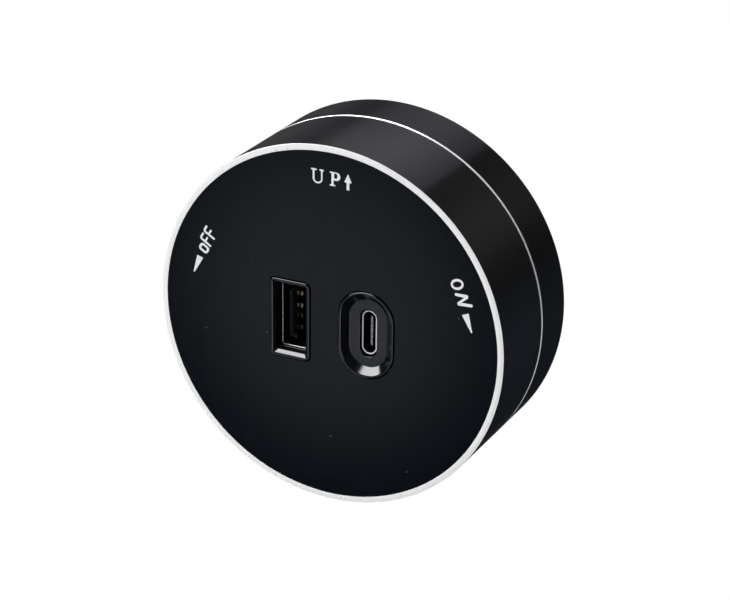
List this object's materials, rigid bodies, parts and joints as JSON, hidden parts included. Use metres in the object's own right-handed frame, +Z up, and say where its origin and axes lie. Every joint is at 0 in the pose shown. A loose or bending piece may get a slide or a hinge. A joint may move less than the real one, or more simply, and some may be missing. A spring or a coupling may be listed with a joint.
{
  "type": "socket module",
  "caption": "Round USB socket module for a wall power track: one rectangular and one oval port, turned a quarter turn to lock and switch on.",
  "frame": {"origin": "centre of the rear seating face, on the axis of the turn", "axes": "+X to the right and +Z up as seen from the face, +Y from the face into the wall track"},
  "size_m": [0.072, 0.037, 0.072],
  "materials": {
    "sleeve_black": "black anodised, satin, with bright diamond-cut edges",
    "panel_gloss": "polished black",
    "bezel_black": "semi-gloss black",
    "moulding_black": "fine moulded texture",
    "port_steel": "nickel plated",
    "port_plastic": "plain",
    "tongue_plastic": "plain",
    "contact_gold": "gold plated",
    "contact_brass": "bright",
    "board_green": "solder mask",
    "fastener_steel": "zinc plated",
    "spring_steel": "oiled",
    "ferrite_grey": "sintered",
    "winding_tape": "wrapped tape",
    "capacitor_sleeve": "shrink sleeve over a can",
    "component_black": "moulded epoxy",
    "fuse_ceramic": "glazed"
  },
  "bodies": {
    "base": {"rear_sleeve": "sleeve_black", "base_cup": "moulding_black", "stop_pin": "fastener_steel", "friction_washer": "spring_steel"},
    "front": {"board_pins": "contact_brass", "board_screws": "fastener_steel", "bridge_rectifier": "component_black", "bulk_capacitors": "capacitor_sleeve", "cap_screws": "fastener_steel", "contact_head": "moulding_black", "control_chips": "component_black", "cover_screws": "fastener_steel", "face_panel": "panel_gloss", "front_shell": "moulding_black", "front_sleeve": "sleeve_black", "fuse": "fuse_ceramic", "head_cap": "moulding_black", "head_screws": "fastener_steel", "input_choke": "ferrite_grey", "live_contact": "contact_brass", "main_board": "board_green", "neutral_contact": "contact_brass", "output_capacitors": "capacitor_sleeve", "pin_strip": "component_black", "port_board": "board_green", "port_board_screws": "fastener_steel", "rear_cover": "moulding_black", "retaining_ring": "spring_steel", "transformer_core": "ferrite_grey", "transformer_winding": "winding_tape", "usb_a_bezel": "bezel_black", "usb_a_contacts": "contact_gold", "usb_a_shell": "port_steel", "usb_a_tongue": "port_plastic", "usb_c_bezel": "bezel_black", "usb_c_contacts": "contact_gold", "usb_c_shell": "port_steel", "usb_c_tongue": "tongue_plastic"}
  },
  "joints": [
    {"name": "twist", "type": "hinge", "parent": "base", "child": "front", "pos_m": [0, 0, 0], "axis": [0, 1, 0], "range_deg": [0, 90]}
  ]
}
